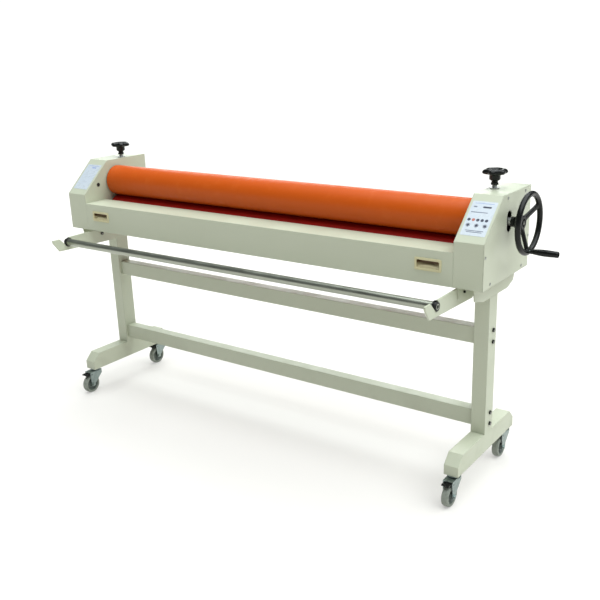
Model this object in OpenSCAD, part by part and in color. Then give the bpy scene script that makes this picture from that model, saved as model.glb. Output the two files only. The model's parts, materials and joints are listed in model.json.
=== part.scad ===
// Cold roll laminator on a wheeled stand.
// X runs along the rollers with the handwheel at +X, -Y is the feeding side, Z is up.
// The origin is on the floor, under the centre of the whole machine.

/* [Rollers] */
// Clear distance between the two end housings
face_w = 1640; // [1000:10:1900]
// Outside diameter of the upper roller
upper_d = 121; // [100:1:126]
// Outside diameter of the lower roller
lower_d = 110; // [90:1:114]
// Upper roller's axis above the housings' underside with the nip closed
axis_h = 179; // [174:1:184]
// Gap left between the closed rollers
nip_gap = 0.3; // [0.2:0.1:1]
// Travel of the upper roller
lift = 20; // [5:1:22]
// Diameter of the roller journals
journal_d = 25; // [16:1:28]

/* [Housings] */
// Width of each end housing along X
housing_w = 98; // [90:1:140]
// Height of the housings' underside above the floor
base_z = 711; // [560:1:800]
// Height of the housings
body_h = 265; // [263:1:300]
// Height of the front face up to the start of the sloped panel
lip_h = 143; // [127:1:180]
// Height of the feeding shelf above the housings' underside
shelf_h = 108; // [102:1:112]
// Distance from the roller axis to the front face
front_y = 178; // [176:1:200]
// Distance from the roller axis to the rear face
rear_y = 170; // [160:1:200]
// Distance from the roller axis to the top edge of the sloped panel
slope_y = 45; // [35:1:60]
// Sheet thickness
sheet = 2; // [1.5:0.1:2.4]

/* [Stand] */
// Distance from a housing's inner wall to the inner face of its post
post_inset = 8; // [4:1:12]
// Width of the post and foot tubes along X
post_w = 50; // [40:1:56]
// Depth of the post tubes along Y
post_d = 60; // [50:1:70]
// Height of the cross beams' section
beam_h = 56; // [50:1:70]
// Depth of the cross beams' section
beam_d = 40; // [30:1:44]
// Distance of the upper cross beam's centre below the housings
beam_drop = 203; // [120:1:280]
// Height of the lower cross beam's centre
beam_lo = 217; // [208:1:293]
// Top of the feet above the floor
foot_top = 169; // [163:1:175]
// Underside of the feet above the floor
foot_bot = 102; // [102:1:105]
// Length of each foot along Y
foot_len = 442; // [420:1:520]
// Wall of all stand tubes
wall = 2.5; // [2:0.1:3]

/* [Handwheel and knobs] */
// Outside diameter of the handwheel
wheel_d = 196; // [160:2:240]
// Thickness of the handwheel's rim
rim_d = 18; // [16:1:24]
// Length of the crank grip
grip_l = 86; // [60:1:110]
// Outside diameter of the lobed pressure knobs
knob_d = 81; // [64:1:86]
// Distance of the pressure screws behind the roller axis
screw_y = 57; // [55:1:59]

/* [Supply bar] */
// Diameter of the supply bar
bar_d = 28; // [20:1:28]
// Distance of the supply bar in front of the roller axis
bar_y = 288; // [284:1:292]
// Distance of the supply bar's axis below the housings
bar_drop = 28; // [26:1:30]

/* [Casters] */
// Diameter of the caster wheels
caster_d = 75; // [70:1:75]
// Width of the caster tyres
caster_w = 24; // [20:1:24]
// Distance between wheel axle and swivel axis
trail = 32; // [30:1:34]

/* [Hidden] */

$fn = 64;
cream = [0.80, 0.80, 0.72];
silicone = [0.80, 0.32, 0.10];
dark_red = [0.42, 0.10, 0.06];
black = [0.09, 0.10, 0.09];
steel = [0.66, 0.67, 0.66];
zinc = [0.60, 0.64, 0.62];
beige = [0.82, 0.79, 0.64];
pale_blue = [0.83, 0.88, 0.93];
tyre_grey = [0.58, 0.59, 0.54];

fit = 0.05;              // radial clearance of a turning fit
slack = 0.3;             // clearance of sliding plates
half = face_w / 2;       // centre to a housing's inner wall
outer = half + housing_w;
axis_z = base_z + axis_h;
top_z = base_z + body_h;
lip_z = base_z + lip_h;
shelf_z = base_z + shelf_h;
bar_z = base_z - bar_drop;
beam_hi = base_z - beam_drop;

// Rollers and the plates that carry them
upper_z = axis_z + nip_gap;
lower_z = axis_z - upper_d / 2 - lower_d / 2;
sleeve_half = half - 4;  // half length of the roller sleeves
core_half = half - 8;
journal_r = journal_d / 2;
upper_core_r = upper_d / 2 - 10;
lower_core_r = lower_d / 2 - 8;
tube_t = 6;              // wall of the roller tubes
disc_t = 12;             // end discs of the roller tubes
vent_r = 3;
frame_x = half + 10;     // inner face of a side frame plate
frame_t = 20;
journal_end = frame_x + frame_t + 6;
frame_front = front_y - 58;
frame_rear = rear_y - 40;
frame_top = top_z - sheet - 5;
frame_shoulder = slope_y - 1; // front edge of a side frame's top
frame_foot_h = 19;            // depth of the tapped holes in its underside
bearing_r = journal_r + 13.5;
port_r = journal_r + 7.5; // openings for the journals in the inner walls
bearing_w = 15;
seat_lip = 6;            // shoulder behind each bearing
tie_r = 12.5;
tie_y = [20 - frame_front, frame_rear - 30];
tie_z = lower_z - 22;

// Sliding bearing blocks and their windows
block_h = 64;
block_z = upper_z - block_h / 2;
block_front = 36;
block_rear = screw_y + 29;
guide = 6;               // overlap of a block's guide lips on its frame
lip_t = 3;
lip_gap = 0.5;           // lips to the faces of the frame
block_x = frame_x - lip_gap - lip_t;
keeper_t = 4;
keeper_w = 48;
window_top = block_z + block_h + keeper_t + lift + 4;
window_bot = block_z - slack;

// Pressure screws
screw_x = frame_x + frame_t / 2 + 2;
screw_r = 8;
neck_r = 5;
button_r = 8;
slot_r = journal_r + 4.5; // half width of the slot for the handwheel's shaft
slot_dz = 16;            // how far the slot's lower centre lies below the closed shaft
slot_h = slot_dz + lift - 4;
button_h = 7.5;
bush_r = 13;
flange_r = 15.5;
flange_t = 3;
nut_z = top_z + 12;      // underside of a jam nut
nut_h = 6;
nut_r = 13;
knob_z = nut_z + nut_h;  // underside of a knob
knob_neck_h = 6;
knob_neck_r = 10;
knob_hub_h = 21;
knob_hub_r = 17.5;
knob_disc_h = 16;
knob_bore_h = 28;
knob_web_h = 6;          // plate left under the dish in the knob's top
knob_lobes = 6;
lobe_r = 11;
knob_h = knob_neck_h + knob_hub_h + knob_disc_h;

// Stand
post_in = half + post_inset;
post_out = post_in + post_w;
post_y = 2;              // centre of the posts
beam_y = 4;              // centre of the cross beams
mid_x = (post_in + post_out) / 2;
bracket_t = 3;
plate_t = 5;             // top plate of a post bracket
bracket_front = front_y - 20;
bracket_rear = rear_y - 5;
bracket_h = 65;          // greatest depth of a bracket's sides
bolt_r = 4;
beam_bolt_dz = 20;
bolt_y = beam_y + 4;
bolt_fit = 0.2;          // clearance of a bolt in its hole
plug_l = 8;              // solid ends of the cross beams
frame_bolt_y = [-50, frame_rear - 30];
foot_y = -3;             // centre of the feet
foot_rise = 33;          // height and run of the feet's sloped ends

// Bends of the aprons
inner_y = 70;            // rollers' side edge of each shelf
hem_h = 20;
flange_w = 30;

// Pull handles let into the front apron
handle_w = 92;
handle_h = 40;
handle_t = 3;            // bezel standing proud of the apron
handle_wall = 2;
handle_x = half - 84;
handle_z = (base_z + shelf_z) / 2 + 7;
cup_w = handle_w - 12;
cup_h = handle_h - 12;
cup_d = 16;

// Labels on the sloped panels
label_w = 80;
label_l = 126;
label_t = 0.4;

// Cover screws and their lugs
screw_head_t = 2.5;
screw_head_r = 4.5;
screw_shank_r = 2;
lug_t = 12;
lug_r = 11;

// Blanking plugs in the housings' inner walls
plug_y = front_y - 76;
plug_z = upper_z - 6;
plug_r = 6.5;
plug_head_r = 8;
plug_head_t = 1.5;

// Supply bar and its arms
arm_t = 6;
arm_out = post_in - bracket_t;
arm_in = arm_out - arm_t;
arm_top = base_z - 9;
arm_tip = bar_y + 75;
arm_low = bar_z - 40;
arm_back = 40;
bush_body_r = bar_d / 2;
notch_r = bush_body_r + 0.8;
notch_seat = 0.5;        // how far the notch's round end lies past the bar's axis
notch_l = 60;
spigot_r = 9;
bush_flange_r = bush_body_r + 4;
bush_flange_t = 4;
bar_wall = 3;
arm_bolt_y = [112, 62];
arm_bolt_z = arm_top - 20;

// Handwheel and grip
hub_in = outer + 8;
hub_out = outer + 47;
hub_r = 22;
collar_l = 13;           // narrow part of the hub next to the housing
collar_r = journal_r + 3.5;
spoke_w = 16;
rim_x = outer + 63;
rim_r = wheel_d / 2 - rim_d / 2;
grip_r = rim_r - 3;      // radius of the grip stud's circle
grip_z = upper_z - grip_r;
grip_x = rim_x + rim_d / 2 + 1;
grip_end = grip_x + grip_l;
stud_r = 4;
stud_head_r = 7;
stud_nut_t = 6;
stud_sink = 8;           // depth of the stud's head in the end of the grip
washer_r = 11;
bolt_hole_r = 5;

// Casters
caster_inset = 24;        // swivel axis from the end of its foot
tyre_r = caster_d / 2;
tyre_in = tyre_r - 10.5;
axle_z = tyre_r;
axle_r = 4;
stem_r = 6;
stem_l = 26;             // stem above the underside of the foot
stem_nut_t = 9;
king_nut_t = 6.5;
king_nut_r = 10;
race_r = 21;
crown_t = 4;
crown_top = foot_bot - 9; // top of a fork's crown
race_z = crown_top + 0.5; // underside of the fixed raceway
leg_in = caster_w / 2 + 3;
leg_t = 2.5;
fork_back = 18;          // fork behind the swivel axis
fork_nose = 12;          // fork ahead of the axle
toe_r = 9;               // round lower ends of the fork's legs
axle_nut_t = 5;
axle_nut_r = 7;
pedal_y = -trail - 4;    // brake pivot measured from the swivel axis
pedal_r = 2.5;
pedal_boss_r = 6;
pedal_l = 28;            // pedal ahead of its pivot
pedal_z = crown_top - crown_t - pedal_boss_r - 1;

// Machine extents, which place the origin under its centre
x_min = -outer - screw_head_t;
x_max = grip_end;
y_min = -arm_tip;
y_max = foot_y + foot_len / 2;
origin_x = (x_min + x_max) / 2;
origin_y = (y_min + y_max) / 2;

cover_screw_places = [[30 - slope_y, top_z - 12], [rear_y - 48, top_z - 12],
    [10 - front_y, shelf_z - 6], [rear_y - 8, shelf_z - 6],
    [51 - front_y, base_z + 12], [rear_y - 54, base_z + 12]];

// Outline of an end housing in the YZ plane
function housing_outline() = [[-front_y, base_z], [-front_y, lip_z], [-slope_y, top_z],
    [rear_y, top_z], [rear_y, base_z]];

// Extrudes a YZ outline along X from x0 over a length t
module slab(x0, t)
    translate([x0, 0, 0]) rotate([90, 0, 90]) linear_extrude(t) children();

// Round bar along X
module bar_x(x0, x1, r)
    translate([x0, 0, 0]) rotate([0, 90, 0]) cylinder(h = x1 - x0, r = r);

// Copies its children to the left end as a mirror image
module side(s) mirror([s < 0 ? 1 : 0, 0, 0]) children();

module both() {
    children();
    mirror([1, 0, 0]) children();
}

module box_tube(size, t) difference() {
    cube(size);
    translate([-1, t, t]) cube([size.x + 2, size.y - 2 * t, size.z - 2 * t]);
}

/* ---------- Stand ---------- */

module post() color(cream) difference() {
    translate([post_in, post_y - post_d / 2, foot_top])
        cube([post_w, post_d, base_z - plate_t - foot_top]);
    translate([post_in + wall, post_y - post_d / 2 + wall, foot_top - 1])
        cube([post_w - 2 * wall, post_d - 2 * wall, base_z - foot_top]);
    for (z = [beam_hi, beam_lo], dz = [-beam_bolt_dz, beam_bolt_dz])
        translate([0, bolt_y, z + dz]) bar_x(post_in - 1, post_out + 1, bolt_r + bolt_fit);
}

module foot_outline(inset) {
    y0 = foot_y - foot_len / 2 + inset;
    y1 = foot_y + foot_len / 2 - inset;
    slant = inset * (sqrt(2) - 1);
    polygon([[y0, foot_bot + inset], [y0, foot_top - foot_rise - slant],
        [y0 + foot_rise - slant, foot_top - inset], [y1 - foot_rise + slant, foot_top - inset],
        [y1, foot_top - foot_rise - slant], [y1, foot_bot + inset]]);
}

module foot() color(cream) difference() {
    slab(post_in, post_w) foot_outline(0);
    slab(post_in + wall, post_w - 2 * wall) foot_outline(wall);
    for (s = [-1, 1]) translate([mid_x, foot_y + s * (foot_len / 2 - caster_inset), foot_bot - 1])
        cylinder(h = wall + 2, r = stem_r + 0.3);
}

module cross_beam(z) color(cream) difference() {
    union() {
        translate([-post_in, beam_y - beam_d / 2, z - beam_h / 2])
            box_tube([2 * post_in, beam_d, beam_h], wall);
        both() translate([post_in - plug_l, beam_y - beam_d / 2, z - beam_h / 2])
            cube([plug_l, beam_d, beam_h]);
    }
    for (s = [-1, 1], dz = [-beam_bolt_dz, beam_bolt_dz])
        translate([0, bolt_y, z + dz]) side(s) bar_x(post_in - plug_l - 1, post_in + 1, bolt_r);
}

module bracket_outline() {
    top = base_z - plate_t;
    low = base_z - bracket_h;
    polygon([[-bracket_front, top], [-bracket_front + 8, low + 21], [74 - bracket_front, low + 3], [bracket_rear - 62, low],
        [bracket_rear - 15, low + 15], [bracket_rear, top]]);
}

module top_bracket() color(cream) difference() {
    union() {
        translate([post_in - bracket_t, -bracket_front, base_z - plate_t])
            cube([post_w + 2 * bracket_t, bracket_front + bracket_rear, plate_t]);
        for (x = [post_in - bracket_t, post_out]) slab(x, bracket_t) bracket_outline();
    }
    for (y = frame_bolt_y) translate([frame_x + frame_t / 2, y, base_z - plate_t - 1])
        cylinder(h = plate_t + 2, r = bolt_r + bolt_fit);
    for (y = arm_bolt_y) translate([0, -y, arm_bolt_z])
        bar_x(post_in - bracket_t - 1, post_in + 1, bolt_r + bolt_fit);
}

// Hexagon head bolt along X, head at x0, shank running towards -X
module bolt_x(x0, length, r) {
    translate([x0, 0, 0]) rotate([0, 90, 0]) cylinder(h = 1.3 * r, r = 1.85 * r, $fn = 6);
    bar_x(x0 - length, x0, r);
}

module stand_bolts() color(black) both() {
    for (z = [beam_hi, beam_lo], dz = [-beam_bolt_dz, beam_bolt_dz])
        translate([0, bolt_y, z + dz]) bolt_x(post_out, post_w + 8, bolt_r);
    for (y = frame_bolt_y) translate([frame_x + frame_t / 2, y, base_z - plate_t]) {
        translate([0, 0, -1.3 * bolt_r]) cylinder(h = 1.3 * bolt_r, r = 1.85 * bolt_r, $fn = 6);
        cylinder(h = plate_t + frame_foot_h, r = bolt_r);
    }
}

/* ---------- Machine body ---------- */

module side_frame() color(steel) difference() {
    slab(frame_x, frame_t) difference() {
        polygon([[-frame_front, base_z + sheet], [-frame_front, shelf_z], [-frame_shoulder, frame_top],
            [frame_rear, frame_top], [frame_rear, base_z + sheet]]);
        translate([-block_front - slack, window_bot])
            square([block_front + block_rear + 2 * slack, window_top - window_bot]);
    }
    translate([0, 0, lower_z]) bar_x(frame_x - 1, frame_x + bearing_w, bearing_r);
    translate([0, 0, lower_z]) bar_x(frame_x, frame_x + frame_t + 1, bearing_r - seat_lip);
    for (y = tie_y) translate([0, y, tie_z])
        bar_x(frame_x - 1, frame_x + frame_t + 1, tie_r);
    translate([screw_x, screw_y, window_top - 1])
        cylinder(h = frame_top - window_top + 2, r = bush_r);
    for (y = frame_bolt_y) translate([frame_x + frame_t / 2, y, base_z])
        cylinder(h = frame_foot_h, r = bolt_r);
}

module tie_bars() color(steel) for (y = tie_y)
    translate([0, y, tie_z]) bar_x(-frame_x - frame_t, frame_x + frame_t, tie_r);

module housing() color(cream) difference() {
    union() {
        slab(half, housing_w - sheet) difference() {
            polygon(housing_outline());
            offset(delta = -sheet) polygon(housing_outline());
        }
        slab(half, sheet) polygon(housing_outline());
        slab(outer - sheet - lug_t, lug_t) intersection() {
            polygon(housing_outline());
            for (p = cover_screw_places) translate(p) circle(r = lug_r);
        }
    }
    // openings for the journals, the tie bars, the pressure screw and the bolts
    slab(half - 1, sheet + 2) {
        translate([-port_r, upper_z - port_r]) square([2 * port_r, 2 * port_r + lift]);
        translate([0, lower_z]) circle(r = port_r);
        for (y = tie_y) translate([y, tie_z]) circle(r = tie_r + 0.5);
    }
    translate([screw_x, screw_y, top_z - sheet - 1]) cylinder(h = sheet + 2, r = bush_r + bolt_fit);
    for (y = frame_bolt_y) translate([frame_x + frame_t / 2, y, base_z - 1])
        cylinder(h = sheet + 2, r = bolt_r + bolt_fit);
    for (p = cover_screw_places) translate([0, p.x, p.y]) bar_x(outer - sheet - lug_t + 2, outer, screw_shank_r);
    translate([0, -plug_y, plug_z]) bar_x(half - 1, half + sheet + 1, plug_r);
}

module end_cover(slotted) color(cream) difference() {
    slab(outer - sheet, sheet) difference() {
        polygon(housing_outline());
        for (p = cover_screw_places) translate(p) circle(r = screw_shank_r + bolt_fit);
        if (slotted) translate([0, upper_z - slot_dz]) {
            for (z = [0, slot_h]) translate([0, z]) circle(r = slot_r);
            translate([-slot_r, 0]) square([2 * slot_r, slot_h]);
        }
    }
}

module cover_screws() color(steel) both() for (p = cover_screw_places) translate([0, p.x, p.y]) {
    bar_x(outer, outer + screw_head_t, screw_head_r);
    bar_x(outer - sheet - lug_t + 4, outer, screw_shank_r);
}

module wall_plugs() color(black) both() translate([0, -plug_y, plug_z]) {
    bar_x(half - plug_head_t, half, plug_head_r);
    bar_x(half, half + sheet + 3, plug_r);
}

// Bent sheet between the housings: face, shelf, back lip and bottom flange
module apron_outline(face_y) polygon([[-face_y, base_z], [-face_y, shelf_z], [-inner_y, shelf_z],
    [-inner_y, shelf_z - hem_h], [-inner_y - sheet, shelf_z - hem_h],
    [-inner_y - sheet, shelf_z - sheet], [-face_y + sheet, shelf_z - sheet],
    [-face_y + sheet, base_z + sheet], [-face_y + flange_w, base_z + sheet],
    [-face_y + flange_w, base_z]]);

module front_apron() color(cream) difference() {
    slab(-half, face_w) apron_outline(front_y);
    both() translate([handle_x - cup_w / 2, -front_y - 1, handle_z - cup_h / 2])
        cube([cup_w, sheet + 2, cup_h]);
}

module rear_apron() color(cream)
    mirror([0, 1, 0]) slab(-half, face_w) apron_outline(rear_y);

module pull_handles() color(beige) both() difference() {
    union() {
        translate([handle_x - handle_w / 2, -front_y - handle_t, handle_z - handle_h / 2])
            cube([handle_w, handle_t, handle_h]);
        translate([handle_x - cup_w / 2, -front_y, handle_z - cup_h / 2])
            cube([cup_w, cup_d, cup_h]);
    }
    translate([handle_x - cup_w / 2, -front_y, handle_z - cup_h / 2])
        translate([handle_wall, -handle_t - 1, handle_wall])
            cube([cup_w - 2 * handle_wall, cup_d + handle_t + 1 - handle_wall, cup_h - 2 * handle_wall]);
}

module labels() color(pale_blue) {
    run = front_y - slope_y;
    rise = top_z - lip_z;
    tilt = atan(rise / run);
    long = sqrt(run * run + rise * rise);
    both() translate([half + (housing_w - label_w) / 2, -front_y, lip_z]) rotate([tilt, 0, 0])
        translate([0, (long - label_l) / 2, 0]) cube([label_w, label_l, label_t]);
}

/* ---------- Supply bar ---------- */

module bar_arm() color(cream) difference() {
    slab(arm_in, arm_t) difference() {
        polygon([[-arm_tip, arm_top], [-arm_tip + 3, arm_top - 12], [-arm_tip + 30, arm_low + 10],
            [-arm_back, arm_low], [-arm_back, arm_top]]);
        translate([-bar_y, bar_z]) rotate(-45) {
            translate([notch_seat, 0]) circle(r = notch_r);
            translate([notch_seat - notch_l, -notch_r]) square([notch_l, 2 * notch_r]);
        }
    }
    for (y = arm_bolt_y) translate([0, -y, arm_bolt_z]) bar_x(arm_in - 1, arm_out + 1, bolt_r);
}

module arm_bolts() color(black) both() for (y = arm_bolt_y)
    translate([arm_in, -y, arm_bolt_z]) mirror([1, 0, 0]) bolt_x(0, arm_t + bracket_t + 5, bolt_r);

module bar_bushes() color(black) both() translate([0, -bar_y, bar_z]) difference() {
    union() {
        bar_x(arm_in - bush_flange_t, arm_in - slack, bush_flange_r);
        bar_x(arm_in - 1, arm_out + 3, bush_body_r);
    }
    bar_x(arm_in - bush_flange_t - 1, arm_out + 4, spigot_r + fit);
}

module supply_bar() color(steel) translate([0, -bar_y, bar_z]) difference() {
    union() {
        bar_x(-arm_in + bush_flange_t + 0.5, arm_in - bush_flange_t - 0.5, bar_d / 2);
        bar_x(-arm_out - 3, arm_out + 3, spigot_r);
    }
    bar_x(-arm_out - 4, arm_out + 4, spigot_r - bar_wall);
}

/* ---------- Rollers ---------- */

module bearing(z) translate([0, 0, z]) difference() {
    bar_x(0, bearing_w, bearing_r);
    bar_x(-1, bearing_w + 1, journal_r + fit);
}

module lower_bearings() color(steel) both() translate([frame_x, 0, 0]) bearing(lower_z);

module upper_bearings() color(steel) both() translate([block_x, 0, 0]) bearing(upper_z);

// Welded roller tube with journals; a centre hole vents the tube
module roller_core(z, r, x1) translate([0, 0, z]) difference() {
    union() {
        bar_x(-core_half, core_half, r);
        bar_x(-journal_end, x1, journal_r);
    }
    bar_x(-core_half + disc_t, core_half - disc_t, r - tube_t);
    bar_x(-outer, -core_half + disc_t + 1, vent_r);
}

module sleeve(z, r, core_r) translate([0, 0, z]) difference() {
    bar_x(-sleeve_half, sleeve_half, r);
    bar_x(-sleeve_half - 1, sleeve_half + 1, core_r);
}

module lower_roller_shaft() color(steel) roller_core(lower_z, lower_core_r, journal_end);

module lower_roller_sleeve() color(dark_red) sleeve(lower_z, lower_d / 2, lower_core_r);

module upper_roller_shaft() color(steel) roller_core(upper_z, upper_core_r, hub_out - 8);

module upper_roller_sleeve() color(silicone) sleeve(upper_z, upper_d / 2, upper_core_r);

/* ---------- Nip mechanism ---------- */

module bearing_blocks() color(steel) both() difference() {
    union() {
        translate([frame_x - lip_gap, -block_front, block_z])
            cube([frame_t + 2 * lip_gap, block_front + block_rear, block_h]);
        for (x = [block_x, frame_x + frame_t + lip_gap])
            translate([x, -block_front - guide, block_z])
                cube([lip_t, block_front + block_rear + 2 * guide, block_h]);
    }
    translate([0, 0, upper_z]) {
        bar_x(block_x - 1, block_x + bearing_w, bearing_r);
        bar_x(frame_x, frame_x + frame_t + 5, bearing_r - seat_lip);
    }
    translate([screw_x, screw_y, block_z + block_h - button_h - 0.5])
        cylinder(h = button_h + 1.5, r = button_r + slack);
}

module keeper_plates() color(steel) both() difference() {
    translate([frame_x - lip_gap, screw_y - keeper_w / 2, block_z + block_h])
        cube([frame_t + 2 * lip_gap, keeper_w, keeper_t]);
    translate([screw_x, screw_y, block_z + block_h - 1]) cylinder(h = keeper_t + 2, r = neck_r + bolt_fit);
}

module screw_bushes() color(steel) both() translate([screw_x, screw_y, 0]) difference() {
    union() {
        translate([0, 0, window_top]) cylinder(h = top_z - window_top, r = bush_r);
        translate([0, 0, top_z]) cylinder(h = flange_t, r = flange_r);
    }
    translate([0, 0, window_top - 1]) cylinder(h = top_z + flange_t + 2 - window_top, r = screw_r + fit);
}

module pressure_screw() color(steel) translate([screw_x, screw_y, 0]) {
    z0 = block_z + block_h;
    shoulder_z = z0 + keeper_t + slack;
    translate([0, 0, z0 - slack - button_h]) cylinder(h = button_h, r = button_r);
    translate([0, 0, z0 - slack - 1]) cylinder(h = shoulder_z - z0 + slack + 2, r = neck_r);
    translate([0, 0, shoulder_z]) cylinder(h = knob_z + knob_bore_h - shoulder_z, r = screw_r);
}

module jam_nut() color(black) translate([screw_x, screw_y, nut_z]) difference() {
    cylinder(h = nut_h, r = nut_r, $fn = 6);
    translate([0, 0, -1]) cylinder(h = nut_h + 2, r = screw_r);
}

// Lobed knob: neck, hub and a dished disc
module knob() color(black) translate([screw_x, screw_y, knob_z]) difference() {
    union() {
        cylinder(h = knob_neck_h, r = knob_neck_r);
        translate([0, 0, knob_neck_h]) cylinder(h = 3, r1 = knob_neck_r, r2 = knob_hub_r);
        translate([0, 0, knob_neck_h + 3]) cylinder(h = knob_hub_h - 3, r = knob_hub_r);
        translate([0, 0, knob_h - knob_disc_h]) linear_extrude(knob_disc_h) {
            circle(r = knob_d / 2 - 0.6 * lobe_r);
            for (i = [0 : knob_lobes - 1]) rotate(36 + i * 360 / knob_lobes)
                translate([knob_d / 2 - lobe_r, 0]) circle(r = lobe_r);
        }
    }
    translate([0, 0, knob_h - knob_disc_h + knob_web_h])
        cylinder(h = knob_disc_h, r1 = knob_hub_r, r2 = knob_d / 2 - lobe_r + 2);
    translate([0, 0, -1]) cylinder(h = knob_bore_h + 1, r = screw_r);
}

/* ---------- Handwheel ---------- */

module handwheel() color(black) translate([0, 0, upper_z]) difference() {
    union() {
        bar_x(hub_in, hub_in + collar_l + 1, collar_r);
        bar_x(hub_in + collar_l, hub_out, hub_r);
        translate([rim_x, 0, 0]) rotate([0, 90, 0]) rotate_extrude($fn = 96)
            translate([rim_r, 0]) circle(r = rim_d / 2, $fn = 24);
        for (a = [0, 120, 240]) rotate([a, 0, 0]) rotate([90, 0, 0])
            linear_extrude(spoke_w, center = true)
                polygon([[hub_out - 13, -hub_r + 4], [hub_out - 1, -hub_r + 4],
                    [rim_x + 5, -rim_r + 3], [rim_x - 6, -rim_r + 3]]);
    }
    bar_x(hub_in - 1, hub_out - 8, journal_r);
    bar_x(hub_out - 9, hub_out - 5, bolt_hole_r);
    bar_x(hub_out - 6, hub_out + 1, washer_r + 0.5);
    translate([0, 0, -grip_r]) bar_x(rim_x - rim_d, rim_x + rim_d, stud_r);
}

module hub_bolt() color(black) translate([0, 0, upper_z]) {
    bar_x(hub_out - 6, hub_out - 4.5, washer_r);
    translate([hub_out - 4.5, 0, 0]) rotate([0, 90, 0]) cylinder(h = 5, r = 7.5, $fn = 6);
    bar_x(hub_out - 8, hub_out - 6, bolt_hole_r);
}

module grip_stud() color(zinc) translate([0, 0, grip_z]) {
    back = rim_x - rim_d / 2 - stud_nut_t;
    bar_x(back, grip_end - stud_sink, stud_r);
    bar_x(grip_end - stud_sink, grip_end - stud_sink + 3, stud_head_r);
    translate([back, 0, 0]) rotate([0, 90, 0]) cylinder(h = stud_nut_t, r = stud_head_r, $fn = 6);
}

module crank_grip() color(black) translate([grip_x, 0, grip_z]) rotate([0, 90, 0]) difference() {
    rotate_extrude() polygon([[0, 0], [7.5, 0], [8.5, 8], [10.5, 0.5 * grip_l],
        [10, grip_l - 4], [8, grip_l], [0, grip_l]]);
    translate([0, 0, -1]) cylinder(h = grip_l, r = stud_r + fit);
    translate([0, 0, grip_l - stud_sink - slack]) cylinder(h = stud_sink + 1, r = stud_head_r + slack);
}

/* ---------- Casters ---------- */

module caster_at(sx, sy) translate([sx * mid_x, foot_y + sy * (foot_len / 2 - caster_inset), 0]) children();

module caster_stems() color(zinc) for (sx = [-1, 1], sy = [-1, 1]) caster_at(sx, sy) {
    translate([0, 0, race_z]) cylinder(h = foot_bot - race_z, r = race_r);
    nut_bottom = crown_top - crown_t - king_nut_t - 0.5;
    translate([0, 0, nut_bottom]) cylinder(h = foot_bot + stem_l - nut_bottom, r = stem_r);
    translate([0, 0, nut_bottom]) cylinder(h = king_nut_t, r = king_nut_r, $fn = 6);
    translate([0, 0, foot_bot + wall]) cylinder(h = stem_nut_t, r = king_nut_r + 1, $fn = 6);
}

module fork() color(zinc) {
    difference() {
        union() {
            translate([-leg_in - leg_t, -trail - fork_nose, crown_top - crown_t])
                cube([2 * (leg_in + leg_t), trail + fork_nose + fork_back, crown_t]);
            translate([0, 0, crown_top - crown_t]) cylinder(h = crown_t, r = race_r + 1);
            for (x = [-leg_in - leg_t, leg_in]) slab(x, leg_t) {
                polygon([[-trail - fork_nose, crown_top - 1], [-trail - fork_nose, pedal_z - 12],
                    [-trail - toe_r, axle_z], [-trail + toe_r, axle_z],
                    [fork_back, crown_top - 16], [fork_back, crown_top - 1]]);
                translate([-trail, axle_z]) circle(r = toe_r);
            }
        }
        translate([0, 0, crown_top - crown_t - 1]) cylinder(h = crown_t + 2, r = stem_r + fit);
        translate([0, -trail, axle_z]) bar_x(-leg_in - leg_t - 1, leg_in + leg_t + 1, axle_r + fit);
        translate([0, pedal_y, pedal_z]) bar_x(-leg_in - leg_t - 1, leg_in + leg_t + 1, pedal_r + fit);
    }
    // axle bolt and nut
    translate([0, -trail, axle_z]) {
        bar_x(-leg_in - leg_t - fit, leg_in + leg_t + fit, axle_r);
        for (x = [-leg_in - leg_t - fit - axle_nut_t, leg_in + leg_t + fit])
            translate([x, 0, 0]) rotate([0, 90, 0]) cylinder(h = axle_nut_t, r = axle_nut_r, $fn = 6);
    }
}

module caster_rim() color(black) translate([0, -trail, axle_z]) difference() {
    union() {
        bar_x(-caster_w / 2 + 2, caster_w / 2 - 2, tyre_in);
        bar_x(-leg_in + 1, leg_in - 1, toe_r);
    }
    bar_x(-leg_in, leg_in, axle_r + fit);
}

module caster_tyre() color(tyre_grey) translate([0, -trail, axle_z]) rotate([0, 90, 0])
    rotate_extrude() polygon([[tyre_in, -caster_w / 2], [tyre_r - 4, -caster_w / 2],
        [tyre_r, -caster_w / 2 + 5], [tyre_r, caster_w / 2 - 5], [tyre_r - 4, caster_w / 2],
        [tyre_in, caster_w / 2]]);

module brake() color(black) {
    translate([0, pedal_y, pedal_z]) bar_x(-leg_in - leg_t, leg_in + leg_t, pedal_r);
    slab(-leg_in + 1, 2 * leg_in - 2) {
        translate([pedal_y, pedal_z]) circle(r = pedal_boss_r);
        polygon([[pedal_y, pedal_z - 5], [pedal_y - pedal_l, pedal_z + 1],
            [pedal_y - pedal_l, pedal_z + 6], [pedal_y, pedal_z + pedal_boss_r]]);
    }
}

/* ---------- Assembly ---------- */

module place() translate([-origin_x, -origin_y, 0]) children();

place() side(-1) post();  // left_post
place() post();  // right_post
place() side(-1) foot();  // left_foot
place() foot();  // right_foot
place() cross_beam(beam_hi);  // upper_cross_beam
place() cross_beam(beam_lo);  // lower_cross_beam
place() side(-1) top_bracket();  // left_top_bracket
place() top_bracket();  // right_top_bracket
place() stand_bolts();
place() side(-1) side_frame();  // left_side_frame
place() side_frame();  // right_side_frame
place() tie_bars();
place() side(-1) housing();  // left_housing
place() housing();  // right_housing
place() side(-1) end_cover(false);  // left_end_cover
place() end_cover(true);  // right_end_cover
place() cover_screws();
place() wall_plugs();
place() front_apron();
place() rear_apron();
place() pull_handles();
place() labels();
place() side(-1) bar_arm();  // left_bar_arm
place() bar_arm();  // right_bar_arm
place() arm_bolts();
place() lower_bearings();
place() screw_bushes();
place() caster_stems();
place() lower_roller_shaft();
place() lower_roller_sleeve();
place() bearing_blocks();
place() upper_bearings();
place() keeper_plates();
place() upper_roller_shaft();
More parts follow.
